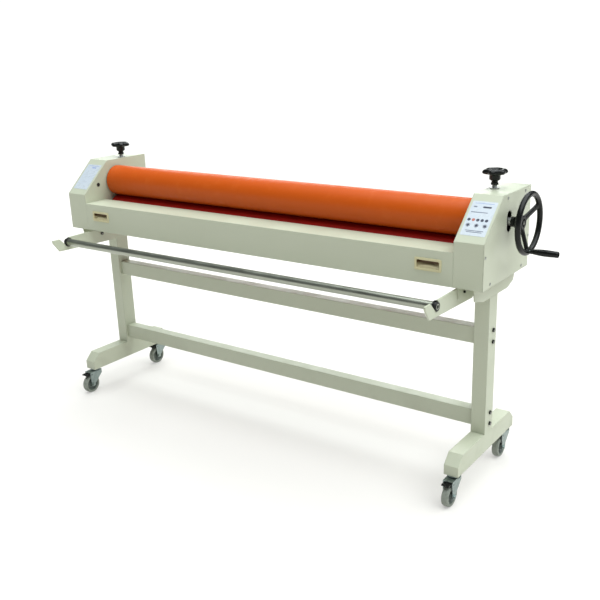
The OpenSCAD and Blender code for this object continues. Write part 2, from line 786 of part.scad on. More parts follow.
place() upper_roller_sleeve();
place() handwheel();
place() hub_bolt();
place() grip_stud();
place() crank_grip();
place() side(-1) pressure_screw();  // left_pressure_screw
place() side(-1) jam_nut();  // left_jam_nut
place() side(-1) knob();  // left_knob
place() pressure_screw();  // right_pressure_screw
place() jam_nut();  // right_jam_nut
place() knob();  // right_knob
place() bar_bushes();
place() supply_bar();
place() caster_at(-1, -1) fork();  // front_left_fork
place() caster_at(-1, -1) caster_rim();  // front_left_rim
place() caster_at(-1, -1) caster_tyre();  // front_left_tyre
place() caster_at(-1, -1) brake();  // front_left_brake
place() caster_at(1, -1) fork();  // front_right_fork
place() caster_at(1, -1) caster_rim();  // front_right_rim
place() caster_at(1, -1) caster_tyre();  // front_right_tyre
place() caster_at(1, -1) brake();  // front_right_brake
place() caster_at(-1, 1) fork();  // rear_left_fork
place() caster_at(-1, 1) caster_rim();  // rear_left_rim
place() caster_at(-1, 1) caster_tyre();  // rear_left_tyre
place() caster_at(-1, 1) brake();  // rear_left_brake
place() caster_at(1, 1) fork();  // rear_right_fork
place() caster_at(1, 1) caster_rim();  // rear_right_rim
place() caster_at(1, 1) caster_tyre();  // rear_right_tyre
place() caster_at(1, 1) brake();  // rear_right_brake
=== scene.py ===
"""Cold roll laminator on a wheeled stand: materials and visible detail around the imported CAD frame.

Sizes of pieces are in millimetres and become metres by MM; materials, camera and lights use metres.
"""

import json
import math

import bmesh
import bpy
from mathutils import Matrix, Vector


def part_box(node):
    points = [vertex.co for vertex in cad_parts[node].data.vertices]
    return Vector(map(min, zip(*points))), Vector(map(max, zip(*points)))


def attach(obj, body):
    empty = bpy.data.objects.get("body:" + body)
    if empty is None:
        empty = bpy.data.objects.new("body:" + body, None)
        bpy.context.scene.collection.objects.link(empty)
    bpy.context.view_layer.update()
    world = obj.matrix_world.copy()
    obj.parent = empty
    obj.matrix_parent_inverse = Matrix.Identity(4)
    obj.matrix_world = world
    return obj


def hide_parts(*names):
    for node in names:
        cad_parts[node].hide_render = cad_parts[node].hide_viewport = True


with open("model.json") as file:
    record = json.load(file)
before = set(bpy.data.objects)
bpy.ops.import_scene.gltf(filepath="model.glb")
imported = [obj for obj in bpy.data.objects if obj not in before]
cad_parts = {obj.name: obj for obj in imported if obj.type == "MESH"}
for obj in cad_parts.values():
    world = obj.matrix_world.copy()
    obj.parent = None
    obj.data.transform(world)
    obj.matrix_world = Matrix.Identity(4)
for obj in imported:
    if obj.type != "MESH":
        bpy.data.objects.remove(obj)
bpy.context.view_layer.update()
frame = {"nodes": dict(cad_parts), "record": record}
NODES = frame["nodes"]
MM = 0.001
CORNERS = ("front_left", "front_right", "rear_left", "rear_right")


# ---------------------------------------------------------------- places read from the frame

def middle(node):
    low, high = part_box(node)
    return (low + high) / 2


def size(node):
    low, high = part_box(node)
    return high - low


def joint_place(name):
    """Where a joint's axis passes, in metres."""
    rows = frame["record"]["behaviour"]["joints"]
    return next(Vector(row["pos_m"]) for row in rows if row["name"] == name)


def round_angles(count):
    """So many angles spread evenly over one turn."""
    return [2 * math.pi * i / count for i in range(count)]


# ---------------------------------------------------------------- materials

def colour(red, green, blue):
    """Linear colour from 0-255 display values."""
    def linear(value):
        value /= 255
        return value / 12.92 if value <= 0.04045 else ((value + 0.055) / 1.055) ** 2.4
    return (linear(red), linear(green), linear(blue), 1)


class Surface:
    """A Principled material with small helpers for procedural detail in object coordinates.

    Noise scales are in waves per metre, bump distances and the edge radius in metres.
    """

    def __init__(self, name, base, roughness, metallic=0.0, coat=0.0, specular=0.5):
        self.material = bpy.data.materials.new(name)
        self.material.use_nodes = True
        self.nodes = self.material.node_tree.nodes
        self.links = self.material.node_tree.links
        self.shader = self.nodes["Principled BSDF"]
        self.base = base
        self.shader.inputs["Base Color"].default_value = base
        self.shader.inputs["Roughness"].default_value = roughness
        self.shader.inputs["Metallic"].default_value = metallic
        self.shader.inputs["Coat Weight"].default_value = coat
        self.shader.inputs["Specular IOR Level"].default_value = specular
        self.coordinates = self.nodes.new("ShaderNodeTexCoord").outputs["Object"]
        self.bump_chain = None

    def scaled(self, scale):
        mapping = self.nodes.new("ShaderNodeMapping")
        mapping.inputs["Scale"].default_value = scale
        self.links.new(self.coordinates, mapping.inputs["Vector"])
        return mapping.outputs["Vector"]

    def noise(self, scale, detail=3.0, stretch=(1, 1, 1), roughness=0.5):
        node = self.nodes.new("ShaderNodeTexNoise")
        node.inputs["Scale"].default_value = scale
        node.inputs["Detail"].default_value = detail
        node.inputs["Roughness"].default_value = roughness
        self.links.new(self.scaled(stretch), node.inputs["Vector"])
        return node.outputs["Fac"]

    def spread(self, factor, low, high, to_low=0.0, to_high=1.0):
        node = self.nodes.new("ShaderNodeMapRange")
        limits = {"From Min": low, "From Max": high, "To Min": to_low, "To Max": to_high}
        for name, value in limits.items():
            node.inputs[name].default_value = value
        self.links.new(factor, node.inputs["Value"])
        return node.outputs["Result"]

    def times(self, a, b):
        node = self.nodes.new("ShaderNodeMath")
        node.operation = "MULTIPLY"
        self.links.new(a, node.inputs[0])
        if isinstance(b, float):
            node.inputs[1].default_value = b
        else:
            self.links.new(b, node.inputs[1])
        return node.outputs[0]

    def tint(self, factor, other):
        """Blends the base colour so far towards another colour."""
        node = self.nodes.new("ShaderNodeMix")
        node.data_type = "RGBA"
        node.inputs["B"].default_value = other
        socket = self.shader.inputs["Base Color"]
        if socket.is_linked:
            self.links.new(socket.links[0].from_socket, node.inputs["A"])
        else:
            node.inputs["A"].default_value = self.base
        self.links.new(factor, node.inputs["Factor"])
        self.links.new(node.outputs["Result"], socket)
        return self

    def gloss(self, factor, low, high):
        """Varies the roughness between two values."""
        self.links.new(self.spread(factor, 0.35, 0.65, low, high), self.shader.inputs["Roughness"])
        return self

    def bump(self, height, distance, strength=1.0):
        node = self.nodes.new("ShaderNodeBump")
        node.inputs["Distance"].default_value = distance
        node.inputs["Strength"].default_value = strength
        self.links.new(height, node.inputs["Height"])
        if self.bump_chain is not None:
            self.links.new(self.bump_chain, node.inputs["Normal"])
        self.bump_chain = node.outputs["Normal"]
        self.links.new(self.bump_chain, self.shader.inputs["Normal"])
        return self

    def soft_edges(self, radius):
        """Shades every edge as if it were rounded; called before the first bump."""
        node = self.nodes.new("ShaderNodeBevel")
        node.samples = 6
        node.inputs["Radius"].default_value = radius
        self.bump_chain = node.outputs["Normal"]
        return self

    def axis(self, name):
        node = self.nodes.new("ShaderNodeSeparateXYZ")
        self.links.new(self.coordinates, node.inputs["Vector"])
        return node.outputs[name]

    def edges(self, low, high):
        """Pointiness, spread so that it is 0 on flats and 1 on sharp outer edges."""
        geometry = self.nodes.new("ShaderNodeNewGeometry")
        return self.spread(geometry.outputs["Pointiness"], low, high)


def paint():
    s = Surface("cream_powder_coat", colour(189, 194, 173), 0.38, specular=0.4)
    cloudy = s.noise(2.2, 3)
    s.tint(s.spread(cloudy, 0.35, 0.7, 0.0, 0.35), colour(182, 187, 165))
    grime = s.times(s.spread(s.noise(9, 5), 0.52, 0.75), s.spread(s.axis("Z"), 0.26, 0.1))
    s.tint(s.times(grime, 0.45), colour(134, 132, 112))
    specks = s.spread(s.noise(420, 2), 0.73, 0.78, 0.0, 0.35)
    s.tint(specks, colour(160, 160, 142))
    s.gloss(s.noise(14, 4), 0.30, 0.44)
    s.soft_edges(0.0035)
    s.bump(s.noise(620, 2), 0.00010, 0.5)
    return s.bump(s.noise(5, 2), 0.0015, 0.08).material


def orange_silicone():
    s = Surface("orange_silicone", colour(194, 82, 8), 0.46, specular=0.22)
    s.tint(s.spread(s.noise(3.5, 4, (0.35, 1, 1)), 0.4, 0.7, 0.0, 0.30), colour(194, 76, 10))
    s.tint(s.spread(s.noise(26, 5), 0.55, 0.8, 0.0, 0.14), colour(222, 118, 52))
    rings = s.noise(340, 2, (1, 0.02, 0.02))
    s.gloss(s.noise(40, 4, (1, 0.15, 0.15)), 0.40, 0.52)
    return s.bump(rings, 0.00004, 0.5).material


def red_rubber():
    s = Surface("dark_red_rubber", colour(168, 22, 12), 0.5, specular=0.25)
    s.tint(s.spread(s.noise(18, 5), 0.45, 0.75, 0.0, 0.4), colour(132, 18, 12))
    s.gloss(s.noise(40, 4), 0.44, 0.58)
    return s.bump(s.noise(340, 2, (1, 0.02, 0.02)), 0.00004, 0.5).material


def machined_steel():
    s = Surface("machined_steel", colour(178, 180, 178), 0.34, metallic=1.0)
    s.tint(s.spread(s.noise(30, 5), 0.45, 0.7, 0.0, 0.4), colour(148, 150, 148))
    s.gloss(s.noise(120, 4, (1, 1, 0.2)), 0.26, 0.42)
    return s.bump(s.noise(900, 2, (1, 1, 0.05)), 0.00003, 0.4).material


def polished_bar():
    s = Surface("polished_bar", colour(160, 164, 152), 0.34, metallic=1.0)
    s.tint(s.spread(s.noise(6, 5, (0.3, 1, 1)), 0.45, 0.7, 0.0, 0.4), colour(134, 138, 124))
    s.gloss(s.noise(60, 4, (0.3, 1, 1)), 0.28, 0.40)
    return s.bump(s.noise(800, 2, (1, 0.03, 0.03)), 0.00002, 0.4).material


def zinc_plate():
    s = Surface("zinc_plate", colour(150, 163, 160), 0.34, metallic=0.95)
    s.tint(s.spread(s.noise(60, 5), 0.4, 0.7, 0.0, 0.5), colour(112, 124, 122))
    s.tint(s.spread(s.noise(14, 3), 0.55, 0.75, 0.0, 0.3), colour(160, 160, 138))
    s.gloss(s.noise(90, 4), 0.28, 0.46)
    return s.bump(s.noise(260, 3), 0.00008, 0.4).material


def black_oxide():
    s = Surface("black_oxide", colour(30, 32, 30), 0.42, metallic=0.6)
    s.tint(s.edges(0.54, 0.62), colour(120, 120, 114))
    s.gloss(s.noise(80, 4), 0.34, 0.5)
    return s.bump(s.noise(500, 2), 0.00004, 0.4).material


def black_phenolic():
    s = Surface("black_phenolic", colour(9, 12, 10), 0.26, specular=0.26)
    s.tint(s.spread(s.noise(14, 5), 0.5, 0.8, 0.0, 0.35), colour(22, 27, 23))
    s.gloss(s.noise(45, 5), 0.22, 0.38)
    return s.bump(s.noise(300, 3), 0.00006, 0.35).material


def black_moulding():
    s = Surface("black_moulding", colour(26, 27, 26), 0.5, specular=0.4)
    s.tint(s.spread(s.noise(30, 4), 0.5, 0.8, 0.0, 0.4), colour(44, 44, 42))
    s.gloss(s.noise(60, 4), 0.42, 0.58)
    return s.bump(s.noise(700, 2), 0.00006, 0.5).material


def beige_moulding():
    s = Surface("beige_moulding", colour(200, 194, 154), 0.42)
    s.tint(s.spread(s.noise(20, 4), 0.45, 0.75, 0.0, 0.4), colour(186, 178, 138))
    s.gloss(s.noise(50, 4), 0.36, 0.5)
    return s.bump(s.noise(800, 2), 0.00005, 0.5).material


def recess_shade():
    """The scoop of a pull handle, with painted shade: deep brown painted under its upper lip where
    shade falls, pale where it runs out below.
    """
    low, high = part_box("pull_handles")
    middle_z, reach = (low.z + high.z) / 2, (high.z - low.z) / 4
    s = Surface("handle_recess_painted_shade", colour(206, 198, 160), 0.5)
    # painted shade: the colour turns brown towards the scoop's upper lip, where the recess lies in
    # shade
    s.tint(s.spread(s.axis("Z"), middle_z - reach * 0.45, middle_z + reach * 0.35), colour(96, 70, 36))
    s.tint(s.spread(s.noise(40, 4), 0.45, 0.75, 0.0, 0.2), colour(150, 128, 90))
    return s.bump(s.noise(700, 2), 0.00005, 0.5).material


def label_film():
    s = Surface("label_film", colour(192, 201, 209), 0.3, coat=0.2)
    s.tint(s.spread(s.noise(30, 3), 0.45, 0.7, 0.0, 0.35), colour(182, 194, 208))
    s.gloss(s.noise(60, 3), 0.24, 0.36)
    return s.bump(s.noise(160, 2), 0.00003, 0.3).material


def ink(name, red, green, blue):
    s = Surface(name, colour(red, green, blue), 0.4)
    worn = colour(red + 30, green + 30, blue + 30)
    return s.tint(s.spread(s.noise(900, 2), 0.5, 0.8, 0.0, 0.3), worn).material


def grey_tyre():
    s = Surface("grey_tyre", colour(132, 138, 128), 0.5)
    s.tint(s.spread(s.noise(60, 5), 0.5, 0.72, 0.0, 0.55), colour(88, 94, 86))
    s.gloss(s.noise(80, 4), 0.48, 0.66)
    return s.bump(s.noise(420, 3), 0.00012, 0.5).material


def caster_core():
    s = Surface("caster_core", colour(82, 92, 85), 0.42)
    s.tint(s.spread(s.noise(60, 4), 0.5, 0.75, 0.0, 0.5), colour(58, 66, 61))
    s.gloss(s.noise(60, 4), 0.36, 0.5)
    return s.bump(s.noise(500, 3), 0.00006, 0.5).material


def floor_surface():
    """A pale floor with a little light of its own, as a lit studio base has."""
    s = Surface("studio_floor", colour(184, 181, 176), 0.75, specular=0.1)
    s.tint(s.spread(s.noise(0.6, 3), 0.4, 0.7, 0.0, 0.25), colour(182, 179, 174))
    s.shader.inputs["Emission Color"].default_value = (1, 1, 1, 1)
    s.shader.inputs["Emission Strength"].default_value = 0.36
    return s.bump(s.noise(60, 3), 0.0002, 0.2).material


MATERIALS = {
    "frame_paint": paint(), "silicone": orange_silicone(), "dark_rubber": red_rubber(),
    "steel": machined_steel(), "polished_bar": polished_bar(), "zinc": zinc_plate(),
    "bolt_black": black_oxide(), "black_plastic": black_phenolic(), "black_matte": black_moulding(),
    "beige_plastic": beige_moulding(), "label_film": label_film(), "tyre_grey": grey_tyre(),
}
SLOT_OF = {part["node"]: part["material_slot"] for part in frame["record"]["subparts"]}


# ---------------------------------------------------------------- carried-over CAD nodes

BEND = {"housing": 2.6, "cover": 0.6, "apron": 2.0, "post": 4.0, "beam": 3.0, "foot": 4.0,
        "bracket": 1.2, "arm": 1.0, "frame": 1.0}


def bend_radius(name):
    for word, radius in BEND.items():
        if word in name:
            return radius * MM
    return 0.4 * MM


def rounding(obj, radius, segments=3, angle=30):
    bevel = obj.modifiers.new("rounding", "BEVEL")
    bevel.width = radius
    bevel.segments = segments
    bevel.limit_method = "ANGLE"
    bevel.angle_limit = math.radians(angle)
    bevel.use_clamp_overlap = True
    obj.data.shade_smooth()
    normals = obj.modifiers.new("normals", "WEIGHTED_NORMAL")
    normals.weight = 90
    normals.keep_sharp = True


def dress(node):
    """Gives a CAD node its material, merged flats, rounded edges and smooth shading."""
    obj = NODES[node]
    obj.data.materials.clear()
    obj.data.materials.append(MATERIALS[SLOT_OF[node]])
    weld = obj.modifiers.new("weld", "WELD")
    weld.merge_threshold = 0.01 * MM
    flats = obj.modifiers.new("flats", "DECIMATE")
    flats.decimate_type = "DISSOLVE"
    flats.angle_limit = math.radians(0.5)
    rounding(obj, bend_radius(node))


for node_name in NODES:
    dress(node_name)


# ---------------------------------------------------------------- mesh building

AXES = {"X": lambda r, a, h: Vector((h, r * math.cos(a), r * math.sin(a))),
        "Z": lambda r, a, h: Vector((r * math.cos(a), r * math.sin(a), h))}


def piece(name, bm, body, material, replaces=(), smooth_angle=35):
    """Turns a bmesh in metres into a piece that rides on a body."""
    bmesh.ops.recalc_face_normals(bm, faces=bm.faces)
    mesh = bpy.data.meshes.new(name)
    bm.to_mesh(mesh)
    bm.free()
    mesh.shade_smooth()
    mesh.set_sharp_from_angle(angle=math.radians(smooth_angle))
    mesh.materials.append(MATERIALS[material])
    obj = bpy.data.objects.new(name, mesh)
    bpy.context.scene.collection.objects.link(obj)
    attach(obj, body)
    if replaces:
        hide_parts(*replaces)
    return obj


def bridge(bm, first, second):
    """Joins two rings of vertices; a ring of one vertex is a pole."""
    count = max(len(first), len(second))
    for i in range(count):
        j = (i + 1) % count
        corners = [first[i % len(first)], first[j % len(first)],
                   second[j % len(second)], second[i % len(second)]]
        unique = [c for k, c in enumerate(corners) if c not in corners[:k]]
        if len(unique) > 2:
            bm.faces.new(unique)


def loft(bm, rings, closed=False, caps=False):
    """Skins a row of rings, closed round to the first one or capped at both ends if asked."""
    made = [[bm.verts.new(point) for point in ring] for ring in rings]
    for first, second in zip(made, made[1:] + ([made[0]] if closed else [])):
        bridge(bm, first, second)
    if caps:
        bm.faces.new(made[0])
        bm.faces.new(made[-1])
    return made


def lathe(bm, axis, centre, profile, segments=64, closed=False, reach=None):
    """Turns a profile of (radius, height) in millimetres about an axis through centre.

    A function reach(radius, height, angle) may give each point a radius of its own.
    """
    rings = []
    for radius, height in profile:
        if radius == 0:
            rings.append([centre + AXES[axis](0, 0, height * MM)])
            continue
        ring = []
        for angle in round_angles(segments):
            real = reach(radius, height, angle) if reach else radius
            ring.append(centre + AXES[axis](real * MM, angle, height * MM))
        rings.append(ring)
    loft(bm, rings, closed)


def rounded(points, radius, steps=4):
    """Rounds the corners of a closed outline of (a, b) points; short sides get a smaller radius."""
    out = []
    count = len(points)
    for i in range(count):
        here = Vector(points[i])
        back, ahead = Vector(points[i - 1]) - here, Vector(points[(i + 1) % count]) - here
        cut = min(radius, 0.45 * back.length, 0.45 * ahead.length)
        start, end = here + back.normalized() * cut, here + ahead.normalized() * cut
        for k in range(steps + 1):
            t = k / steps
            out.append(tuple(start * (1 - t) ** 2 + here * 2 * t * (1 - t) + end * t ** 2))
    return out


def turned(node, ending, outline, edge, body, material, segments):
    """Replaces a node by a part with a bore, turned about X from a closed outline of (radius, x)."""
    bm = bmesh.new()
    lathe(bm, "X", middle(node), rounded(outline, edge), segments, closed=True)
    return piece(node + ending, bm, body, material, (node,), smooth_angle=50)


def repaint(obj, material):
    """Gives a piece this one material in place of what it has."""
    obj.data.materials.clear()
    obj.data.materials.append(material)


# ---------------------------------------------------------------- roller sleeves

SLEEVE_EDGE = 2.2
BORE_R = {"upper": 50.5, "lower": 47}


def make_sleeve(which, material):
    """A ground rubber sleeve with rounded ends."""
    node = which + "_roller_sleeve"
    half, radius = size(node).x / 2 / MM, size(node).z / 2 / MM
    bore = BORE_R[which]
    outline = [(radius, -half), (radius, half), (bore, half), (bore, -half)]
    turned(node, "_ground", outline, SLEEVE_EDGE, which + "_roller", material, 160)


make_sleeve("upper", "silicone")
make_sleeve("lower", "dark_rubber")


# ---------------------------------------------------------------- pressure knobs and screws

KNOB_LOBES = 6
LOBE_ROOT_R, LOBE_TIP_R = 24, 40.5
LOBE_DEPTH = 7.5
FIRST_LOBE = {"left": math.radians(144), "right": math.radians(36)}
KNOB_BORE = 28
SCREW_R = 8


def make_knob(side):
    """A lobed disc with a dished top, on a waisted stem."""
    node = side + "_knob"
    low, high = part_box(node)
    screw = middle(side + "_pressure_screw")
    centre = Vector((screw.x, screw.y, low.z))
    top = (high.z - low.z) / MM

    def lobed(radius, _height, angle):
        """Outer parts of the disc swell into rounded lobes."""
        share = max(0.0, min(1.0, (radius - LOBE_ROOT_R) / (LOBE_TIP_R - LOBE_ROOT_R)))
        wave = (0.5 + 0.5 * math.cos(KNOB_LOBES * (angle - FIRST_LOBE[side]))) ** 1.2
        return radius - LOBE_DEPTH * share * (1 - wave)

    disc_below_top = [(0, 10.5), (8, 10.4), (14, 9.6), (19, 7), (23, 3.2), (26, 0.9), (28.5, 0.1),
                      (31, 0.3), (34.5, 1.6), (37.5, 3.6), (39.6, 6.4), (LOBE_TIP_R, 9.2),
                      (39.8, 12), (37.4, 14.2), (33, 15.6), (27, 16.2), (21.5, 16.8),
                      (18.6, 18.4), (17.5, 21)]
    stem = [(17.5, 12.5), (16.9, 10.2), (14.8, 8.2), (11.6, 6.8), (10, 5), (10, 0.9), (9.2, 0)]
    bore = [(SCREW_R, 0), (SCREW_R, KNOB_BORE), (0, KNOB_BORE)]
    profile = [(radius, top - drop) for radius, drop in disc_below_top] + stem + bore
    bm = bmesh.new()
    lathe(bm, "Z", centre, profile, segments=120, reach=lobed)
    piece(node + "_moulded", bm, side + "_screw", "black_plastic", (node,), smooth_angle=60)


def make_screw(side):
    """The pressure screw: a foot button, a neck, and a thread cut as a helix."""
    node = side + "_pressure_screw"
    low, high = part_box(node)
    centre = Vector((middle(node).x, middle(node).y, low.z))
    height = (high.z - low.z) / MM
    pitch, depth, step, start = 2.0, 1.0, 0.4, 13.0
    button_h, neck_r, edge = 7.5, 5.0, 0.5
    rows = int((height - start) / step)
    foot = [(0, 0), (SCREW_R - edge, 0), (SCREW_R, edge), (SCREW_R, button_h), (neck_r, button_h),
            (neck_r, start - depth), (SCREW_R - depth, start - depth)]
    thread = [(SCREW_R, start + i * (height - start - edge) / rows) for i in range(rows + 1)]
    profile = foot + thread + [(SCREW_R - depth, height), (0, height)]

    def threaded(radius, level, angle):
        """Along the thread the radius falls and rises once per pitch."""
        if radius != SCREW_R or level < start:
            return radius
        phase = (level / pitch - angle / (2 * math.pi)) % 1.0
        return SCREW_R - depth * abs(2 * phase - 1)

    bm = bmesh.new()
    lathe(bm, "Z", centre, profile, segments=24, reach=threaded)
    piece(node + "_threaded", bm, side + "_screw", "steel", (node,), smooth_angle=80)


for end in ("left", "right"):
    make_knob(end)
    make_screw(end)


# ---------------------------------------------------------------- handwheel and crank grip

def baked(obj):
    """Replaces a piece's mesh by its evaluated one and drops the modifiers."""
    graph = bpy.context.evaluated_depsgraph_get()
    mesh = bpy.data.meshes.new_from_object(obj.evaluated_get(graph))
    obj.modifiers.clear()
    obj.data = mesh


def superellipse(angle, power=0.62):
    """A point on a rounded rectangle of half size 1."""
    c, s = math.cos(angle), math.sin(angle)
    return math.copysign(abs(c) ** power, c), math.copysign(abs(s) ** power, s)


WHEEL_RIM_R = 9.0
SHAFT_BORE_R, BOLT_HEAD_R, BOLT_R = 12.6, 11.9, 5.2
SPOKE_TURNS = (30, 150, 270)
SPOKE_ROOT_R = 15
SPOKE_STEPS = 14
GRIP_BORE_R = 4.05


def hub_outline(inner, outer):
    """The stepped hub between two places along X, bored for the shaft and its bolt."""
    from_inner = [(SHAFT_BORE_R, 0), (15.6, 0), (15.8, 11), (19, 14), (22, 18)]
    from_outer = [(22, 2.5), (20, 0), (SHAFT_BORE_R, 0), (BOLT_HEAD_R, 1), (BOLT_HEAD_R, 6),
                  (BOLT_R, 6), (BOLT_R, 10), (SHAFT_BORE_R, 10)]
    return [(r, inner + x) for r, x in from_inner] + [(r, outer - x) for r, x in from_outer]


def spoke_rings(centre, turn, rim_major, root_x, rise):
    """Sections of one spoke, which rises along X from the hub and flares out at both ends."""
    ray = Vector((0, math.cos(math.radians(turn)), math.sin(math.radians(turn))))
    across = Vector((0, -ray.z, ray.y))
    rings = []
    for k in range(SPOKE_STEPS + 1):
        t = k / SPOKE_STEPS
        radius = SPOKE_ROOT_R + t * (rim_major - SPOKE_ROOT_R)
        flare = 3.5 * (1 - min(1, t / 0.25)) ** 2 + 3 * max(0, (t - 0.75) / 0.25) ** 2
        half_w, half_t = 8.2 + flare, 5.6 + 0.3 * flare
        depth = root_x + rise * t
        rings.append([centre + (ray * radius + across * half_w * superellipse(a)[0]) * MM
                      + Vector((depth + half_t * superellipse(a)[1], 0, 0)) * MM
                      for a in round_angles(20)])
    return rings


def make_handwheel():
    """Rim, three dished spokes and a stepped hub, blended into one casting."""
    low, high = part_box("handwheel")
    roller = middle("upper_roller_sleeve")
    centre = Vector((0, roller.y, roller.z))
    rim_major = (high.z - low.z) / 2 / MM - WHEEL_RIM_R
    rim_x = high.x / MM - WHEEL_RIM_R
    hub_in, hub_out = low.x / MM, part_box("hub_bolt")[0].x / MM + 8
    bm = bmesh.new()
    circle = [(rim_major + WHEEL_RIM_R * math.cos(t), rim_x + WHEEL_RIM_R * math.sin(t))
              for t in round_angles(28)]
    lathe(bm, "X", centre, circle, segments=128, closed=True)
    lathe(bm, "X", centre, hub_outline(hub_in, hub_out), segments=96, closed=True)
    for turn in SPOKE_TURNS:
        rings = spoke_rings(centre, turn, rim_major, hub_out - 7, rim_x - hub_out + 6.5)
        loft(bm, rings, caps=True)
    obj = piece("handwheel_cast", bm, "upper_roller", "black_plastic", ("handwheel",), smooth_angle=80)
    remesh = obj.modifiers.new("blend", "REMESH")
    remesh.mode = "VOXEL"
    remesh.voxel_size = 1.3 * MM
    remesh.use_smooth_shade = True
    relax = obj.modifiers.new("relax", "SMOOTH")
    relax.factor = 0.5
    relax.iterations = 5
    baked(obj)
    repaint(obj, MATERIALS["black_plastic"])


def make_grip():
    """A swelling handle with a collar at the wheel and a sink for the stud's head at its end."""
    node = "crank_grip"
    length = size(node).x / MM
    centre = Vector((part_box(node)[0].x, middle(node).y, middle(node).z))
    head_r, head_floor = 7.3, length - 8.3
    outer = [(6.8, 0), (7.8, 0.8), (8.2, 3), (7.4, 5), (7.6, 7.5), (8.6, 15), (9.7, 26), (10.35, 38),
             (10.5, 48), (10.3, 58), (9.9, 68), (9.55, 75), (9.75, 77.5), (9.75, length - 3),
             (9.2, length - 1), (8, length)]
    inner = [(head_r, length), (head_r, head_floor), (GRIP_BORE_R, head_floor), (GRIP_BORE_R, 0)]
    bm = bmesh.new()
    lathe(bm, "X", centre, outer + inner, segments=56, closed=True)
    piece(node + "_turned", bm, node, "black_plastic", (node,), smooth_angle=40)


make_handwheel()
make_grip()


# ---------------------------------------------------------------- casters

CASTER_CORE = caster_core()
TYRE_H = 10.5
AXLE_BORE_R = 4.05
PIVOT_R, ROLL_R = 2.4, 6
RIBS, RIB_PITCH = 4, 4.5
PEDAL_INSET = 3.6 * MM
STEM_R = 6
NUT_R, NUT_H = 10, 5.7


def mirrored(half_outline):
    """A closed outline of (radius, x) from its half at negative x."""
    return half_outline + [(radius, -x) for radius, x in reversed(half_outline)]


def make_tyre(corner):
    """A tyre with a flat tread and sloped shoulders."""
    node = corner + "_tyre"
    radius, half = size(node).z / 2 / MM, size(node).x / 2 / MM
    outline = mirrored([(radius - TYRE_H, -half), (radius - 4.5, -half),
                        (radius - 1.6, -half + 1.6), (radius, -half + 5.5)])
    turned(node, "_moulded", outline, 2.4, corner + "_wheel", "tyre_grey", 96)


def make_rim(corner):
    """A wheel core with a dished web between hub and tyre."""
    node = corner + "_rim"
    radius, half = size(node).z / 2 / MM, size(node).x / 2 / MM
    outline = mirrored([(AXLE_BORE_R, -half), (8.6, -half), (9, -half + 3), (12, -5), (20, -4),
                        (23.5, -9.5), (radius, -10)])
    obj = turned(node, "_moulded", outline, 1.0, corner + "_wheel", "black_matte", 72)
    repaint(obj, CASTER_CORE)


def extrude_x(bm, outline, x_low, x_high):
    """A prism along X from a closed outline of (y, z)."""
    loft(bm, [[Vector((x, y * MM, z * MM)) for y, z in outline] for x in (x_low, x_high)], caps=True)


def make_pedal(corner):
    """A pressed lever with a rolled root and grip ribs, on its pivot pin."""
    node = corner + "_brake"
    low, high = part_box(node)
    y, z = high.y / MM - ROLL_R, (low.z + high.z) / 2 / MM
    roll = [(y + ROLL_R * math.cos(a), z + ROLL_R * math.sin(a))
            for a in (math.radians(80 - 17 * k) for k in range(18))]
    lever = [(-12, 0.6), (-22, 1.2), (-26.5, 0.2), (-28, 1.6), (-27.4, 4.2), (-22, 5.6), (-12, 5.4),
             (-3, 6)]
    outline = roll + [(y + ahead, z + up) for ahead, up in lever]
    inner, outer = low.x + PEDAL_INSET, high.x - PEDAL_INSET
    pin_length = size(node).x / MM
    pin = [(0, 0), (PIVOT_R, 0), (PIVOT_R, pin_length), (0, pin_length)]
    bm = bmesh.new()
    extrude_x(bm, outline, inner, outer)
    lathe(bm, "X", Vector((low.x, y * MM, z * MM)), pin, segments=20)
    for k in range(RIBS):
        rib = y - 24.5 + RIB_PITCH * k
        extrude_x(bm, [(rib, z + 4.5), (rib + 1.4, z + 4.5), (rib + 1.1, z + 6), (rib + 0.3, z + 6)],
                  inner + 3 * MM, outer - 3 * MM)
    obj = piece(node + "_pressed", bm, corner + "_pedal", "black_plastic", (node,))
    rounding(obj, 0.5 * MM, segments=2, angle=40)


def hexagon(bm, axis, centre, radius, height, chamfer=0.8):
    """A nut of this radius over its corners, chamfered at both ends."""
    def six_sided(r, _height, angle):
        flat = radius * math.cos(math.pi / 6) / math.cos((angle % (math.pi / 3)) - math.pi / 6)
        return min(r, flat)

    profile = [(0, 0), (radius - chamfer, 0), (radius, chamfer), (radius, height - chamfer),
               (radius - chamfer, height), (0, height)]
    lathe(bm, axis, centre, profile, segments=48, reach=six_sided)


def make_raceways():
    """Fixed ball races, stems and nuts of the four casters."""
    low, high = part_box("caster_stems")
    race_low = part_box("front_left_fork")[1].z + 0.5 * MM
    race_r, race_h = 21.0, 8.5
    race = [(0, 0), (15, 0), (15.5, 0.6), (15.5, 1.6), (20.4, 1.8), (race_r, 2.4), (race_r, 5),
            (20.2, 6.2), (16.5, 6.6), (16, 7.2), (16, race_h), (0, race_h)]
    stem_h, edge = (high.z - low.z) / MM, 0.6
    stem = [(0, 0), (STEM_R - edge, 0), (STEM_R, edge), (STEM_R, stem_h), (0, stem_h)]
    bm = bmesh.new()
    for corner in CORNERS:
        pivot = joint_place(corner + "_swivel")
        lathe(bm, "Z", Vector((pivot.x, pivot.y, race_low)), race, segments=56)
        foot = Vector((pivot.x, pivot.y, low.z))
        lathe(bm, "Z", foot, stem, segments=28)
        hexagon(bm, "Z", foot + Vector((0, 0, 0.8 * MM)), NUT_R, NUT_H)
    piece("caster_raceways", bm, "frame", "zinc", ("caster_stems",), smooth_angle=40)


for place_name in CORNERS:
    make_tyre(place_name)
    make_rim(place_name)
    make_pedal(place_name)
make_raceways()


# ---------------------------------------------------------------- pull handles

BEZEL_W, BEZEL_H = 92.0, 40.0
BEZEL_OUT = 3 * MM
SCOOP_DEEP, SCOOP_SHALLOW = 13.4, 3.2
# material for the scoop, with painted shade under its upper lip
RECESS_PAINTED_SHADE = recess_shade()


